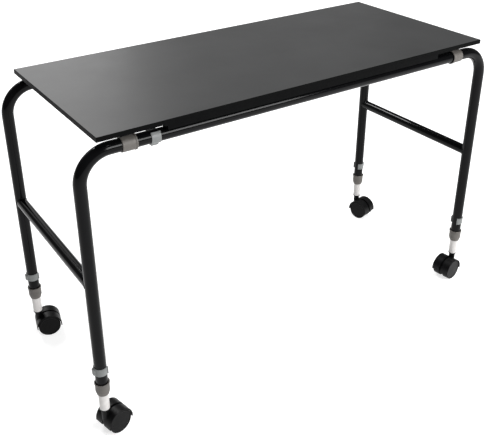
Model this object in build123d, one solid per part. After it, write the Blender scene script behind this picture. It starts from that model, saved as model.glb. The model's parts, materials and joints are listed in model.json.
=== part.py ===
from build123d import *
import math
import os

# Overbed table on castors: a long laminate top on two tube end frames. The end frames pull out
# lengthwise, the legs adjust in height, and each leg stands on a swivelling twin-wheel castor.
# Millimetres. Origin at floor level under the centre of the top; X along the table, Y to the
# rear, Z up.

# ---- top ----------------------------------------------------------------------------------
TOP_LENGTH = 915.0
TOP_DEPTH = 398.0
TOP_THICKNESS = 9.0
TOP_HEIGHT = 636.0
EDGE_BAND = 1.0

BATTEN_LENGTH = 652.0
BATTEN_DEPTH = 50.0
BATTEN_THICKNESS = 10.0

# ---- tube frame ---------------------------------------------------------------------------
TUBE_OD = 24.0
TUBE_ID = 19.95
INNER_OD = 19.8
INNER_ID = 16.8
CROSS_BAR_OD = 23.0
CROSS_BAR_ID = 20.0
RAIL_Y = 183.0
RAIL_Z = 605.1
LEG_X = 487.0
BEND_RADIUS = 57.0
CENTRE_RAIL_HALF = 400.0
STUB_END = 404.3
EXTENSION_END = 126.0
CROSS_BAR_Z = 350.0
LEG_BOTTOM = 108.0
INNER_LEG_TOP = 372.0
INNER_LEG_BOTTOM = 63.0

HOLE_D = 6.5
HOLE_PITCH = 25.0
HOLE_STEPS = 8

# ---- plastic ferrules ---------------------------------------------------------------------
RAIL_FERRULE_START = 382.0
RAIL_FERRULE_END = 410.0
RAIL_FERRULE_R = 14.1
LEG_FERRULE_TOP = 129.0
LEG_FERRULE_CHAMFER = 109.0
LEG_FERRULE_BOTTOM = 101.0
LEG_FERRULE_R = 14.0
LEG_FERRULE_R_SMALL = 11.9
FERRULE_LIP_R = 14.9
FERRULE_LIP_LENGTH = 3.0
FERRULE_RIM_R = 13.2
FERRULE_RIM_DEPTH = 4.0
STUB_RECESS_R = 12.3

# ---- spring clips -------------------------------------------------------------------------
CLIP_THICKNESS = 1.6
CLIP_OPENING_HALF_ANGLE = 42.0
CLIP_LIP = 3.0
CLIP_TAB_R = 16.3
CLIP_TAB_WIDTH = 11.0
PEG_D = 6.0
PEG_TIP_R = 10.1
LEG_CLIP_Z = 159.0
LEG_CLIP_HEIGHT = 16.0
RAIL_CLIP_X = 347.0
RAIL_CLIP_WIDTH = 18.0

# ---- fixing of the centre rails -----------------------------------------------------------
TAB_THICKNESS = 3.0
TAB_WIDTH = 40.0
TAB_INNER_Y = 155.0
TAB_XS = (-250.0, 0.0, 250.0)
SCREW_Y = 163.0
SCREW_SPREAD = 12.0
SCREW_D = 4.0
SCREW_HEAD_D = 8.0
SCREW_HEAD_H = 2.4
SCREW_LENGTH = 17.0

# ---- castors ------------------------------------------------------------------------------
WHEEL_R = 25.0
WHEEL_INNER_Y = 4.6
WHEEL_OUTER_Y = 21.4
WHEEL_HUB_Y = 20.4
WHEEL_EDGE = 0.8
AXLE_D = 6.0
AXLE_HALF = 20.0
FIT_CLEARANCE = 0.05
CASTOR_TRAIL = 20.0
HOOD_R = 28.5
HOOD_INNER_R = 26.2
HOOD_HALF_WIDTH = 22.8
WEB_HALF = 4.0
GROOVE_HALF = 2.6
GROOVE_R = 24.0
WEB_R = 13.0
NECK_R = 7.5
NECK_TOP = 59.8
STEM_D = 8.0
STEM_BOTTOM = 47.5
STEM_TOP = 96.0
SOCKET_FLANGE_R = 10.2
SOCKET_FLANGE_BOTTOM = 60.0
SOCKET_TOP = 98.0

# Direction in which each castor trails from its stem, in degrees from +X.
CASTOR_HEADINGS = {
    "front_left": 13.0,
    "rear_left": 347.0,
    "front_right": 188.0,
    "rear_right": 283.0,
}
CORNERS = {
    "front_left": (-1, -1),
    "rear_left": (-1, 1),
    "front_right": (1, -1),
    "rear_right": (1, 1),
}

os.makedirs("parts", exist_ok=True)


def save(name, shape):
    shape.label = name
    export_step(shape, f"parts/{name}.step")


def x_rod(radius, x0, x1, y, z):
    plane = Plane(origin=(min(x0, x1), y, z), x_dir=(0, 1, 0), z_dir=(1, 0, 0))
    return plane * Cylinder(radius, abs(x1 - x0), align=(Align.CENTER, Align.CENTER, Align.MIN))


def z_rod(radius, x, y, z0, z1):
    return Pos(x, y, z0) * Cylinder(radius, z1 - z0, align=(Align.CENTER, Align.CENTER, Align.MIN))


def box_between(x0, x1, y0, y1, z0, z1):
    centre = Pos((x0 + x1) / 2, (y0 + y1) / 2, (z0 + z1) / 2)
    return centre * Box(abs(x1 - x0), abs(y1 - y0), abs(z1 - z0))


def turned(points):
    """A solid of revolution about Z from (radius, height) points."""
    outline = Polyline(*[(r, 0, z) for r, z in points], close=True)
    return revolve(make_face(outline), Axis.Z, 360)


def on_x(shape, x, y, z, direction):
    """Lay a part that was drawn along +Z along +X or -X, with its base at (x, y, z)."""
    return Plane(origin=(x, y, z), x_dir=(0, 1, 0), z_dir=(direction, 0, 0)) * shape


# ---- laminate top with its edge band ------------------------------------------------------
board_half_x = TOP_LENGTH / 2 - EDGE_BAND
board_half_y = TOP_DEPTH / 2 - EDGE_BAND
top_under = TOP_HEIGHT - TOP_THICKNESS
board = box_between(-board_half_x, board_half_x, -board_half_y, board_half_y, top_under, TOP_HEIGHT)
band_outer = box_between(
    -TOP_LENGTH / 2, TOP_LENGTH / 2, -TOP_DEPTH / 2, TOP_DEPTH / 2, top_under, TOP_HEIGHT
)
band_outer = chamfer(band_outer.edges().group_by(Axis.Z)[-1], 0.4)
save("edge_band", band_outer - board)

# ---- battens, centre rails, welded tabs and their screws ----------------------------------
batten_under = top_under - BATTEN_THICKNESS
tab_under = batten_under - TAB_THICKNESS
screw_solids = []
for side, sign in (("front", -1), ("rear", 1)):
    outer_y = sign * TOP_DEPTH / 2
    inner_y = sign * (TOP_DEPTH / 2 - BATTEN_DEPTH)
    rail_y = sign * RAIL_Y
    batten = box_between(
        -BATTEN_LENGTH / 2, BATTEN_LENGTH / 2, outer_y, inner_y, batten_under, top_under
    )
    batten -= x_rod(TUBE_OD / 2, -BATTEN_LENGTH, BATTEN_LENGTH, rail_y, RAIL_Z)

    rail = x_rod(TUBE_OD / 2, -CENTRE_RAIL_HALF, CENTRE_RAIL_HALF, rail_y, RAIL_Z)
    rail -= x_rod(TUBE_ID / 2, -CENTRE_RAIL_HALF, CENTRE_RAIL_HALF, rail_y, RAIL_Z)
    # The clip's peg passes the wall from below.
    for hole_x in (-RAIL_CLIP_X, RAIL_CLIP_X):
        rail -= Pos(hole_x, rail_y, RAIL_Z - TUBE_OD / 2) * Cylinder(HOLE_D / 2, TUBE_OD / 2)
    save(f"centre_rail_{side}", rail)

    tabs = []
    for tab_x in TAB_XS:
        tab = box_between(
            tab_x - TAB_WIDTH / 2,
            tab_x + TAB_WIDTH / 2,
            sign * TAB_INNER_Y,
            rail_y,
            tab_under,
            batten_under,
        )
        tab -= x_rod(TUBE_OD / 2, tab_x - TAB_WIDTH, tab_x + TAB_WIDTH, rail_y, RAIL_Z)
        for screw_x in (tab_x - SCREW_SPREAD, tab_x + SCREW_SPREAD):
            screw_y = sign * SCREW_Y
            shank = z_rod(SCREW_D / 2, screw_x, screw_y, tab_under, tab_under + SCREW_LENGTH)
            head = z_rod(
                SCREW_HEAD_D / 2, screw_x, screw_y, tab_under - SCREW_HEAD_H, tab_under
            )
            head = fillet(head.edges().sort_by(Axis.Z)[0], 1.2)
            slot_z = tab_under - SCREW_HEAD_H
            cross = Pos(screw_x, screw_y, slot_z) * Box(4.4, 0.9, 2.0)
            cross += Pos(screw_x, screw_y, slot_z) * Box(0.9, 4.4, 2.0)
            screw_solids.append(shank + (head - cross))
            tab -= shank
            batten -= shank
            board -= shank
        tabs.append(tab)
    save(f"{side}_batten", batten)
    save(f"{side}_rail_tabs", Compound(children=tabs))
save("tabletop", board)
save("tab_screws", Compound(children=screw_solids))

# ---- ferrules -----------------------------------------------------------------------------
# Rail ferrule, drawn along +Z from its wide rim (towards the table's centre) outwards. The
# centre rail is pushed in from the rim, the extension tube runs through the bore, and the end
# frame's stub nests in the recess at the other end.
rail_web_start = CENTRE_RAIL_HALF - RAIL_FERRULE_START
rail_web_end = STUB_END - RAIL_FERRULE_START - 0.3
rail_ferrule_length = RAIL_FERRULE_END - RAIL_FERRULE_START
bore_r = INNER_OD / 2 + 0.1
rail_ferrule = turned(
    [
        (FERRULE_RIM_R, 0.0),
        (FERRULE_LIP_R - 0.5, 0.0),
        (FERRULE_LIP_R, 0.5),
        (FERRULE_LIP_R, FERRULE_LIP_LENGTH),
        (RAIL_FERRULE_R, FERRULE_LIP_LENGTH + 0.6),
        (RAIL_FERRULE_R - 0.2, rail_ferrule_length - 1.0),
        (RAIL_FERRULE_R - 0.8, rail_ferrule_length),
        (STUB_RECESS_R, rail_ferrule_length),
        (STUB_RECESS_R, rail_web_end),
        (bore_r, rail_web_end),
        (bore_r, rail_web_start),
        (TUBE_OD / 2, rail_web_start),
        (TUBE_OD / 2, FERRULE_RIM_DEPTH),
        (FERRULE_RIM_R, FERRULE_RIM_DEPTH),
    ]
)

# Leg ferrule, drawn along -Z from its rim: the black leg stands in it and the white inner leg
# runs out through the bore at the chamfered end.
leg_ferrule = turned(
    [
        (FERRULE_RIM_R, LEG_FERRULE_TOP),
        (FERRULE_LIP_R - 0.5, LEG_FERRULE_TOP),
        (FERRULE_LIP_R, LEG_FERRULE_TOP - 0.5),
        (FERRULE_LIP_R, LEG_FERRULE_TOP - FERRULE_LIP_LENGTH),
        (LEG_FERRULE_R, LEG_FERRULE_TOP - FERRULE_LIP_LENGTH - 0.6),
        (LEG_FERRULE_R, LEG_FERRULE_CHAMFER),
        (LEG_FERRULE_R_SMALL + 0.3, LEG_FERRULE_BOTTOM + 1.2),
        (LEG_FERRULE_R_SMALL, LEG_FERRULE_BOTTOM),
        (bore_r, LEG_FERRULE_BOTTOM),
        (bore_r, LEG_BOTTOM),
        (TUBE_OD / 2, LEG_BOTTOM),
        (TUBE_OD / 2, LEG_FERRULE_TOP - FERRULE_RIM_DEPTH),
        (FERRULE_RIM_R, LEG_FERRULE_TOP - FERRULE_RIM_DEPTH),
    ]
)


# ---- spring clips -------------------------------------------------------------------------
def spring_clip(height):
    """A C-shaped spring clip around a tube on Z, opening towards -X, its peg tab on +X."""
    inner_r = TUBE_OD / 2
    outer_r = inner_r + CLIP_THICKNESS
    ring = Cylinder(outer_r, height) - Cylinder(inner_r, height)
    half = math.radians(CLIP_OPENING_HALF_ANGLE)
    reach = 2 * outer_r
    mouth = make_face(
        Polyline(
            (0, 0),
            (-reach * math.cos(half), reach * math.sin(half)),
            (-reach * math.cos(half), -reach * math.sin(half)),
            close=True,
        )
    )
    ring -= Pos(0, 0, -height) * extrude(mouth, 2 * height)
    # Each tip turns outwards in a short lip, so that the clip springs over the tube.
    middle_r = inner_r + CLIP_THICKNESS / 2
    for sign in (-1, 1):
        tip_x = -middle_r * math.cos(half)
        tip_y = sign * middle_r * math.sin(half)
        lip = Pos(CLIP_LIP / 2 - 0.7, 0, 0) * Box(CLIP_LIP, CLIP_THICKNESS, height)
        lip_angle = 180.0 - sign * 35.0
        lip = Pos(tip_x, tip_y, 0) * (Rot(0, 0, lip_angle) * lip)
        lip -= Cylinder(inner_r, height)
        ring += lip
    ring = fillet(ring.edges().filter_by(GeomType.LINE).sort_by(Axis.X)[:4], 0.4)
    # The finger tab swells out of the back and carries the locking peg.
    tab = Pos(CLIP_TAB_R / 2, 0, 0) * Box(CLIP_TAB_R, CLIP_TAB_WIDTH, height * 0.78)
    tab = fillet(tab.edges().filter_by(Axis.Z).group_by(Axis.X)[-1], 3.0)
    tab = fillet(tab.edges().group_by(Axis.X)[-1], 1.2)
    tab -= Cylinder(outer_r - 0.4, height)
    body = ring + tab
    peg_axis = Plane(origin=(PEG_TIP_R, 0, 0), z_dir=(1, 0, 0))
    peg_length = outer_r - PEG_TIP_R
    peg = Cylinder(PEG_D / 2, peg_length, align=(Align.CENTER, Align.CENTER, Align.MIN))
    return body + peg_axis * peg


leg_clip = spring_clip(LEG_CLIP_HEIGHT)
rail_clip = spring_clip(RAIL_CLIP_WIDTH)

# ---- castor, drawn with its stem on Z and trailing towards +X -----------------------------
axle_plane = Plane(origin=(CASTOR_TRAIL, 0, WHEEL_R), x_dir=(1, 0, 0), z_dir=(0, -1, 0))
hood_width = 2 * HOOD_HALF_WIDTH
hood = axle_plane * (Cylinder(HOOD_R, hood_width) - Cylinder(HOOD_INNER_R, hood_width))
hood -= axle_plane * Cylinder(HOOD_R + 1.0, 2 * GROOVE_HALF)
hood = fillet(hood.edges().filter_by(GeomType.CIRCLE).group_by(SortBy.RADIUS)[-1], 1.0)
below = box_between(-60.0, 100.0, -40.0, 40.0, -60.0, WHEEL_R - 3.0)
hood -= below
# Each wheel has its own half of the hood; the halves meet in a groove over the web.
web = axle_plane * Cylinder(HOOD_R, 2 * WEB_HALF)
web -= axle_plane * (Cylinder(HOOD_R + 1.0, 2 * GROOVE_HALF) - Cylinder(GROOVE_R, 2 * GROOVE_HALF))
web -= below
web += axle_plane * Cylinder(WEB_R, 2 * WEB_HALF)
neck = z_rod(NECK_R, 0, 0, WHEEL_R, NECK_TOP)
neck = chamfer(neck.edges().sort_by(Axis.Z)[-1], 0.6)
neck -= axle_plane * Cylinder(GROOVE_R - 1.0, 2 * hood_width)
neck -= axle_plane * (Cylinder(HOOD_R - 1.0, 2 * hood_width) - Cylinder(HOOD_R - 1.0, 2 * WEB_HALF))
castor_body = hood + web + neck
castor_body -= z_rod(STEM_D / 2, 0, 0, STEM_BOTTOM, NECK_TOP + 1.0)
castor_body -= axle_plane * Cylinder(AXLE_D / 2, 2 * AXLE_HALF)

stem = z_rod(STEM_D / 2, 0, 0, STEM_BOTTOM, STEM_TOP)
stem = chamfer(stem.edges().group_by(Axis.Z)[-1], 0.8)
axle = axle_plane * Cylinder(AXLE_D / 2, 2 * AXLE_HALF)
castor_pins = [stem, axle]

# One wheel, turned about its axle: a barrel tread, a dished outer face and a blind bore.
wheel_bore = AXLE_D / 2 + FIT_CLEARANCE
wheel_profile = turned(
    [
        (wheel_bore, WHEEL_INNER_Y),
        (WHEEL_R - 1.0, WHEEL_INNER_Y),
        (WHEEL_R, WHEEL_INNER_Y + 1.0),
        (WHEEL_R, WHEEL_OUTER_Y - WHEEL_EDGE),
        (WHEEL_R - WHEEL_EDGE, WHEEL_OUTER_Y),
        (WHEEL_R - 3.6, WHEEL_OUTER_Y),
        (WHEEL_R - 4.2, WHEEL_OUTER_Y - 0.5),
        (WHEEL_R - 14.0, WHEEL_OUTER_Y - 0.4),
        (0.0, WHEEL_OUTER_Y - 0.2),
        (0.0, WHEEL_HUB_Y),
        (wheel_bore, WHEEL_HUB_Y),
    ]
)
socket_r = INNER_ID / 2
socket = turned(
    [
        (STEM_D / 2 + FIT_CLEARANCE, SOCKET_FLANGE_BOTTOM),
        (SOCKET_FLANGE_R - 0.6, SOCKET_FLANGE_BOTTOM),
        (SOCKET_FLANGE_R, SOCKET_FLANGE_BOTTOM + 0.6),
        (SOCKET_FLANGE_R, INNER_LEG_BOTTOM - 0.4),
        (SOCKET_FLANGE_R - 0.4, INNER_LEG_BOTTOM),
        (socket_r, INNER_LEG_BOTTOM),
        (socket_r, SOCKET_TOP),
        (STEM_D / 2 + FIT_CLEARANCE, SOCKET_TOP),
    ]
)

# ---- the four corners ---------------------------------------------------------------------
for corner, (sx, sy) in CORNERS.items():
    rail_y = sy * RAIL_Y
    leg_x = sx * LEG_X

    # Outer leg: one tube, from the stub beside the top round the bend and down the leg.
    bend_x = leg_x - sx * BEND_RADIUS
    path = Line((sx * STUB_END, rail_y, RAIL_Z), (bend_x, rail_y, RAIL_Z))
    path += TangentArc(
        (bend_x, rail_y, RAIL_Z), (leg_x, rail_y, RAIL_Z - BEND_RADIUS), tangent=(sx, 0, 0)
    )
    path += Line((leg_x, rail_y, RAIL_Z - BEND_RADIUS), (leg_x, rail_y, LEG_BOTTOM))
    start = Plane(origin=(sx * STUB_END, rail_y, RAIL_Z), x_dir=(0, 1, 0), z_dir=(sx, 0, 0))
    outside = sweep(start * Circle(TUBE_OD / 2), path)
    inside = sweep(start * Circle(TUBE_ID / 2), path)
    leg_tube = outside - inside
    peg_hole = Plane(origin=(leg_x + sx * TUBE_OD / 2, rail_y, LEG_CLIP_Z), z_dir=(1, 0, 0))
    leg_tube -= peg_hole * Cylinder(HOLE_D / 2, TUBE_OD / 2)
    save(f"leg_tube_{corner}", leg_tube)

    # Extension tube: swaged into the stub, with a row of holes under the rail clip.
    ext = x_rod(INNER_OD / 2, sx * EXTENSION_END, bend_x, rail_y, RAIL_Z)
    ext += x_rod(TUBE_ID / 2, sx * (STUB_END + 1.0), bend_x, rail_y, RAIL_Z)
    ext -= x_rod(INNER_ID / 2, sx * (EXTENSION_END - 1.0), bend_x + sx, rail_y, RAIL_Z)
    for step in range(HOLE_STEPS + 1):
        hole_x = sx * (RAIL_CLIP_X - step * HOLE_PITCH)
        ext -= Pos(hole_x, rail_y, RAIL_Z - INNER_OD / 2) * Cylinder(HOLE_D / 2, INNER_OD / 2)
    save(f"extension_tube_{corner}", ext)

    ferrule = on_x(rail_ferrule, sx * RAIL_FERRULE_START, rail_y, RAIL_Z, sx)
    save(f"rail_ferrule_{corner}", ferrule)
    save(f"leg_ferrule_{corner}", Pos(leg_x, rail_y, 0) * leg_ferrule)

    # Rail clip, pushed on from below. The front right end is held by its ferrule alone.
    if corner != "front_right":
        clip_plane = Plane(
            origin=(sx * RAIL_CLIP_X, rail_y, RAIL_Z), x_dir=(0, 0, -1), z_dir=(1, 0, 0)
        )
        save(f"rail_clip_{corner}", clip_plane * rail_clip)

    # Leg clip: its finger tab on the outer side of the leg.
    turn = 0 if sx > 0 else 180
    save(f"leg_clip_{corner}", Pos(leg_x, rail_y, LEG_CLIP_Z) * (Rot(0, 0, turn) * leg_clip))

    # Inner leg with its row of holes, and the castor socket in its foot.
    inner_leg = z_rod(INNER_OD / 2, leg_x, rail_y, INNER_LEG_BOTTOM, INNER_LEG_TOP)
    inner_leg -= z_rod(INNER_ID / 2, leg_x, rail_y, INNER_LEG_BOTTOM, INNER_LEG_TOP)
    for step in range(HOLE_STEPS + 1):
        hole_z = LEG_CLIP_Z + step * HOLE_PITCH
        hole_plane = Plane(origin=(leg_x + sx * INNER_OD / 2, rail_y, hole_z), z_dir=(1, 0, 0))
        inner_leg -= hole_plane * Cylinder(HOLE_D / 2, INNER_OD / 2)
    save(f"inner_leg_{corner}", inner_leg)
    save(f"castor_socket_{corner}", Pos(leg_x, rail_y, 0) * socket)

    # Castor, turned to its own heading.
    place = Pos(leg_x, rail_y, 0) * Rot(0, 0, CASTOR_HEADINGS[corner])
    save(f"castor_hood_{corner}", place * castor_body)
    save(f"castor_pins_{corner}", place * Compound(children=castor_pins))
    for wheel_side, turn in (("a", -1), ("b", 1)):
        wheel_plane = Plane(
            origin=(CASTOR_TRAIL, 0, WHEEL_R), x_dir=(1, 0, 0), z_dir=(0, turn, 0)
        )
        save(f"castor_wheel_{wheel_side}_{corner}", place * (wheel_plane * wheel_profile))

# ---- cross bars, coped to the legs --------------------------------------------------------
for side, sx in (("left", -1), ("right", 1)):
    span = 2 * RAIL_Y
    bar_plane = Plane(origin=(sx * LEG_X, 0, CROSS_BAR_Z), x_dir=(1, 0, 0), z_dir=(0, 1, 0))
    bar = bar_plane * (Cylinder(CROSS_BAR_OD / 2, span) - Cylinder(CROSS_BAR_ID / 2, span))
    for sy in (-1, 1):
        bar -= z_rod(TUBE_OD / 2, sx * LEG_X, sy * RAIL_Y, CROSS_BAR_Z - 40, CROSS_BAR_Z + 40)
    save(f"cross_bar_{side}", bar)
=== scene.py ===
import json
import math

import bmesh
import bpy
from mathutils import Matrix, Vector


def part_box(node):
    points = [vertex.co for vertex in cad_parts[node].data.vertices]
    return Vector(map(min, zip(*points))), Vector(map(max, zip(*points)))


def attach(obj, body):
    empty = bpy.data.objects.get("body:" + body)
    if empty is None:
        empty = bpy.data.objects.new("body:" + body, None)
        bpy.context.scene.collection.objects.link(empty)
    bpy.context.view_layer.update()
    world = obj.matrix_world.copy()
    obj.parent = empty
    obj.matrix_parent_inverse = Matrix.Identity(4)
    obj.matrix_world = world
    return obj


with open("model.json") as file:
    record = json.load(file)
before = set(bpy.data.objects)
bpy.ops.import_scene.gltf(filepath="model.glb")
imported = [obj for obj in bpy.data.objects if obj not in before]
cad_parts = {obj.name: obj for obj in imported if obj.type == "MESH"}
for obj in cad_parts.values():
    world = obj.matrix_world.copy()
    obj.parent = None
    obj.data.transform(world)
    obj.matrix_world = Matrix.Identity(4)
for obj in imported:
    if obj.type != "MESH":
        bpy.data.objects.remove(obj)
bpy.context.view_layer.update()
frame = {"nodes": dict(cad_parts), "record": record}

nodes = frame["nodes"]
scene = bpy.context.scene
CORNERS = ("front_left", "rear_left", "front_right", "rear_right")


# ---- camera ---------------------------------------------------------------------------------
CAMERA_LOCATION = (-0.8687, -1.2304, 1.1360)
CAMERA_TURN_DEGREES = (63.393, 0.452, -33.382)
CAMERA_SENSOR_MM = 36.0
CAMERA_LENS_MM = 55.42
CAMERA_SHIFT = (0.0200, -0.1141)
CAMERA_CLIP = (0.05, 60.0)


def make_camera():
    data = bpy.data.cameras.new("camera")
    data.sensor_width = CAMERA_SENSOR_MM
    data.lens = CAMERA_LENS_MM
    data.shift_x, data.shift_y = CAMERA_SHIFT
    data.clip_start, data.clip_end = CAMERA_CLIP
    camera = bpy.data.objects.new("camera", data)
    camera.location = CAMERA_LOCATION
    camera.rotation_euler = tuple(math.radians(a) for a in CAMERA_TURN_DEGREES)
    scene.collection.objects.link(camera)
    scene.camera = camera


# ---- light ----------------------------------------------------------------------------------
WORLD_STRENGTH = 0.19
# Soft boxes: name, place, point aimed at, width and height, watts.
AREA_LIGHTS = (
    ("key", (1.6, -1.1, 5.5), (1.2, -0.8, 0.0), (4.0, 1.6), 350.0),
    ("back_left", (-0.2, 3.4, 2.0), (-0.2, 0.0, 0.7), (3.0, 2.4), 29.0),
    ("back_middle", (1.9, 3.2, 1.5), (0.0, 0.0, 0.7), (2.4, 2.0), 2.5),
    ("front_right", (1.0, -2.6, 1.55), (1.0, 0.0, 1.0), (1.6, 1.1), 95.0),
    ("overhead_rear", (-0.5, 4.8, 5.4), (-0.5, 3.6, 0.0), (2.0, 1.5), 250.0),
)


def make_area_light(name, location, target, size, power):
    data = bpy.data.lights.new(name, "AREA")
    data.shape = "RECTANGLE"
    data.size, data.size_y = size
    data.energy = power
    light = bpy.data.objects.new(name, data)
    light.location = location
    aim = Vector(target) - Vector(location)
    light.rotation_euler = aim.to_track_quat("-Z", "Y").to_euler()
    scene.collection.objects.link(light)


def make_world():
    world = bpy.data.worlds.new("studio")
    world.use_nodes = True
    background = world.node_tree.nodes["Background"]
    background.inputs["Color"].default_value = (1.0, 1.0, 1.0, 1.0)
    background.inputs["Strength"].default_value = WORLD_STRENGTH
    scene.world = world


# ---- materials ------------------------------------------------------------------------------
COAT_ROUGHNESS = 0.08
TONE_STOPS = (0.3, 0.7)


class Shader:
    """A Principled material built up from procedural nodes in object coordinates."""

    def __init__(self, name, roughness=0.5, metallic=0.0, specular=0.5, coat=0.0):
        self.material = bpy.data.materials.new(name)
        self.material.use_nodes = True
        self.tree = self.material.node_tree
        self.bsdf = self.tree.nodes["Principled BSDF"]
        self.bsdf.inputs["Roughness"].default_value = roughness
        self.bsdf.inputs["Metallic"].default_value = metallic
        self.bsdf.inputs["Specular IOR Level"].default_value = specular
        self.bsdf.inputs["Coat Weight"].default_value = coat
        self.bsdf.inputs["Coat Roughness"].default_value = COAT_ROUGHNESS
        self.coords = self.tree.nodes.new("ShaderNodeTexCoord").outputs["Object"]

    def link(self, source, target):
        self.tree.links.new(source, target)

    def noise(self, scale, detail=4.0, roughness=0.55, stretch=None):
        """Noise of a given number of cells per metre, drawn out along an axis when asked."""
        source = self.coords
        if stretch:
            mapping = self.tree.nodes.new("ShaderNodeMapping")
            mapping.inputs["Scale"].default_value = stretch
            self.link(source, mapping.inputs["Vector"])
            source = mapping.outputs["Vector"]
        node = self.tree.nodes.new("ShaderNodeTexNoise")
        node.inputs["Scale"].default_value = scale
        node.inputs["Detail"].default_value = detail
        node.inputs["Roughness"].default_value = roughness
        self.link(source, node.inputs["Vector"])
        return node.outputs["Fac"]

    def cells(self, scale):
        node = self.tree.nodes.new("ShaderNodeTexVoronoi")
        node.inputs["Scale"].default_value = scale
        self.link(self.coords, node.inputs["Vector"])
        return node.outputs["Distance"]

    def drift(self, low, high, scale):
        """A base colour that drifts between two tones over the surface."""
        node = self.tree.nodes.new("ShaderNodeValToRGB")
        for element, position, tone in zip(node.color_ramp.elements, TONE_STOPS, (low, high)):
            element.position = position
            element.color = (*tone, 1.0)
        self.link(self.noise(scale), node.inputs["Fac"])
        self.link(node.outputs["Color"], self.bsdf.inputs["Base Color"])

    def speckle(self, base, spread, scale):
        """A base colour that drifts a little lighter and darker over the surface."""
        low = tuple(c * (1 - spread) for c in base)
        high = tuple(c * (1 + spread) for c in base)
        self.drift(low, high, scale)

    def roughness(self, source, low, high):
        node = self.tree.nodes.new("ShaderNodeMapRange")
        node.inputs["To Min"].default_value = low
        node.inputs["To Max"].default_value = high
        self.link(source, node.inputs["Value"])
        self.link(node.outputs["Result"], self.bsdf.inputs["Roughness"])

    def bump(self, layers):
        """Heights stacked as (source, strength, distance in metres)."""
        previous = None
        for source, strength, distance in layers:
            node = self.tree.nodes.new("ShaderNodeBump")
            node.inputs["Strength"].default_value = strength
            node.inputs["Distance"].default_value = distance
            self.link(source, node.inputs["Height"])
            if previous:
                self.link(previous, node.inputs["Normal"])
            previous = node.outputs["Normal"]
        self.link(previous, self.bsdf.inputs["Normal"])


def make_laminate():
    s = Shader("laminate_black", roughness=0.34, specular=0.55)
    s.speckle((0.0215, 0.0220, 0.0222), 0.12, 9.0)
    s.roughness(s.noise(14.0, detail=6.0), 0.31, 0.40)
    s.bump([(s.cells(900.0), 0.10, 0.00012), (s.noise(260.0), 0.06, 0.0001)])
    return s.material


def make_edge_band():
    s = Shader("edge_black", roughness=0.5, specular=0.03)
    s.speckle((0.0015, 0.0016, 0.0017), 0.2, 60.0)
    s.roughness(s.noise(120.0), 0.42, 0.6)
    s.bump([(s.noise(700.0, stretch=(0.15, 0.15, 1.0)), 0.15, 0.0001)])
    return s.material


def make_batten():
    s = Shader("batten_black", roughness=0.42, specular=0.03)
    s.speckle((0.0015, 0.0016, 0.0017), 0.25, 40.0)
    s.roughness(s.noise(60.0, stretch=(0.1, 1.0, 1.0)), 0.36, 0.52)
    s.bump([(s.noise(420.0, stretch=(0.06, 1.0, 1.0)), 0.25, 0.0002)])
    return s.material


def make_tube_black():
    s = Shader("tube_black", roughness=0.10, specular=0.10)
    s.speckle((0.0020, 0.0021, 0.0024), 0.2, 30.0)
    s.roughness(s.noise(45.0, detail=6.0), 0.08, 0.14)
    s.bump([(s.noise(330.0, detail=2.0), 0.05, 0.0002), (s.cells(1500.0), 0.02, 0.0001)])
    return s.material


def make_tube_white():
    s = Shader("inner_tube_white", roughness=0.38, specular=0.4, coat=0.15)
    s.speckle((0.50, 0.485, 0.475), 0.06, 120.0)
    s.roughness(s.noise(90.0, stretch=(1.0, 1.0, 0.08)), 0.26, 0.42)
    s.bump([(s.noise(420.0, stretch=(1.0, 1.0, 0.05)), 0.12, 0.0001)])
    return s.material


def make_plastic(name, base, roughness, specular, grain=0.2):
    """Moulded plastic with a fine grain; grain is the strength of its bumps."""
    s = Shader(name, roughness=roughness, specular=specular)
    s.speckle(base, 0.1, 90.0)
    s.roughness(s.noise(150.0), roughness - 0.06, roughness + 0.08)
    s.bump([(s.cells(1400.0), grain, 0.00012), (s.noise(350.0), grain * 0.5, 0.0002)])
    return s.material


def make_steel():
    s = Shader("steel", roughness=0.3, metallic=1.0)
    s.speckle((0.55, 0.55, 0.55), 0.08, 200.0)
    s.roughness(s.noise(300.0, stretch=(1.0, 1.0, 0.1)), 0.22, 0.4)
    s.bump([(s.noise(900.0, stretch=(1.0, 1.0, 0.06)), 0.15, 0.0001)])
    return s.material


FLOOR_DARK = (0.50, 0.50, 0.50)
FLOOR_LIGHT = (0.52, 0.52, 0.52)
FLOOR_GLOW = 0.70
FLOOR_HALF_SIZE = 14.0


def make_floor_material():
    s = Shader("studio_floor", roughness=0.9, specular=0.1)
    s.drift(FLOOR_DARK, FLOOR_LIGHT, 1.5)
    s.bump([(s.noise(40.0), 0.02, 0.0005)])
    s.bsdf.inputs["Emission Color"].default_value = (1.0, 1.0, 1.0, 1.0)
    s.bsdf.inputs["Emission Strength"].default_value = FLOOR_GLOW
    return s.material


FERRULE_GREY = (0.093, 0.086, 0.079)
CLIP_GREY = (0.150, 0.157, 0.156)
CASTOR_BLACK = (0.0026, 0.0026, 0.0028)
# The keys are the record's material slots.
MATERIALS = {
    "laminate_black": make_laminate(),
    "edge_black": make_edge_band(),
    "batten_black": make_batten(),
    "tube_black": make_tube_black(),
    "inner_tube_white": make_tube_white(),
    "ferrule_grey": make_plastic("ferrule_grey", FERRULE_GREY, 0.48, 0.3),
    "clip_grey": make_plastic("clip_grey", CLIP_GREY, 0.42, 0.3),
    "castor_black": make_plastic("castor_black", CASTOR_BLACK, 0.36, 0.10, grain=0.3),
    "wheel_black": make_plastic("wheel_black", CASTOR_BLACK, 0.36, 0.08, grain=0.15),
    "steel": make_steel(),
}


def paint_nodes():
    for part in frame["record"]["subparts"]:
        mesh = nodes[part["node"]].data
        mesh.materials.clear()
        mesh.materials.append(MATERIALS[part["material_slot"]])


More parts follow.
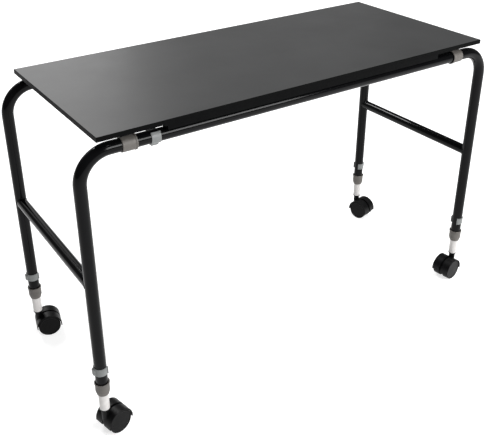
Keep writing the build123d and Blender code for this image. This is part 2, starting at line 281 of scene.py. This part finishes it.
def object_from(bm, name, material):
    """A linked object made from a bmesh, which is freed."""
    mesh = bpy.data.meshes.new(name)
    bm.to_mesh(mesh)
    bm.free()
    mesh.materials.append(material)
    made = bpy.data.objects.new(name, mesh)
    scene.collection.objects.link(made)
    return made


# ---- weld beads where the cross bars meet the legs ------------------------------------------
BEAD_RADIUS = 0.0013
BEAD_STEPS = 96
BEAD_SIDES = 10
BEAD_RIPPLES = 26
BEAD_RIPPLE_DEPTH = 0.07


def saddle_bead(name, bar, leg, body):
    """A bead of weld round a horizontal bar, along the saddle where it meets an upright leg."""
    bar_low, bar_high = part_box(bar)
    leg_low, leg_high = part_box(leg)
    bar_radius = (bar_high[2] - bar_low[2]) / 2
    leg_radius = (leg_high[1] - leg_low[1]) / 2
    x = (bar_low[0] + bar_high[0]) / 2
    z = (bar_low[2] + bar_high[2]) / 2
    leg_y = (leg_low[1] + leg_high[1]) / 2
    inward = -math.copysign(1.0, leg_y)

    bm = bmesh.new()
    rings = []
    for step in range(BEAD_STEPS):
        angle = 2 * math.pi * step / BEAD_STEPS
        radial = Vector((math.cos(angle), 0.0, math.sin(angle)))
        along = Vector((0.0, inward, 0.0))
        across = bar_radius * radial.x
        centre = Vector((x, leg_y, z)) + bar_radius * radial
        centre += along * math.sqrt(leg_radius**2 - across**2)
        ripple = BEAD_RIPPLE_DEPTH * math.sin(BEAD_RIPPLES * angle)
        radius = BEAD_RADIUS * (1.0 + ripple)
        ring = []
        for side in range(BEAD_SIDES):
            turn = 2 * math.pi * side / BEAD_SIDES
            offset = math.cos(turn) * radial + math.sin(turn) * along
            ring.append(bm.verts.new(centre + radius * offset))
        rings.append(ring)
    for index, ring in enumerate(rings):
        after = rings[(index + 1) % BEAD_STEPS]
        for side in range(BEAD_SIDES):
            other = (side + 1) % BEAD_SIDES
            face = bm.faces.new((ring[side], ring[other], after[other], after[side]))
            face.smooth = True
    bmesh.ops.recalc_face_normals(bm, faces=bm.faces)
    bead = object_from(bm, name, MATERIALS["tube_black"])
    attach(bead, body)


def make_weld_beads():
    for corner in CORNERS:
        side = corner.split("_")[1]
        saddle_bead(
            f"weld_bead_{corner}", f"cross_bar_{side}", f"leg_tube_{corner}", f"end_frame_{side}"
        )


# ---- painted shade: a dark strip filling the recess from the front batten's end to the right hand ferrule ---
STRIP_CLEARANCE = 0.0003
STRIP_BEVEL = 0.0008


def make_painted_shade_strip():
    """A narrow black strip on the front rail, set back from the batten's front face: painted shade
    that fills the shaded recess up to the right hand ferrule.
    """
    batten_low, batten_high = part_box("front_batten")
    rail_low, rail_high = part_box("centre_rail_front")
    ferrule_low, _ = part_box("rail_ferrule_front_right")
    top_low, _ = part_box("tabletop")
    low = Vector((batten_high[0], (rail_low[1] + rail_high[1]) / 2, rail_high[2]))
    high = Vector((ferrule_low[0], batten_high[1], top_low[2]))
    centre = (low + high) / 2
    size = high - low - Vector((STRIP_CLEARANCE,) * 3) * 2

    bm = bmesh.new()
    bmesh.ops.create_cube(bm, size=1.0)
    for vertex in bm.verts:
        vertex.co = centre + Vector(c * s for c, s in zip(vertex.co, size))
    bmesh.ops.bevel(
        bm, geom=list(bm.edges), offset=STRIP_BEVEL, segments=3, profile=0.5, affect="EDGES"
    )
    bmesh.ops.recalc_face_normals(bm, faces=bm.faces)
    # painted shade: this dark strip stands in for the shade in the recess behind the batten's end
    strip = object_from(bm, "painted_shade_strip_front_right", MATERIALS["batten_black"])
    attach(strip, "table_top")


# ---- floor ----------------------------------------------------------------------------------
def make_floor():
    bm = bmesh.new()
    bmesh.ops.create_grid(bm, x_segments=2, y_segments=2, size=FLOOR_HALF_SIZE)
    object_from(bm, "floor", make_floor_material())


make_camera()
make_world()
for light_settings in AREA_LIGHTS:
    make_area_light(*light_settings)
make_floor()
paint_nodes()
make_weld_beads()
# painted shade strip in the recess beside the right hand rail ferrule
make_painted_shade_strip()
scene.view_settings.view_transform = "Standard"
scene.view_settings.look = "None"
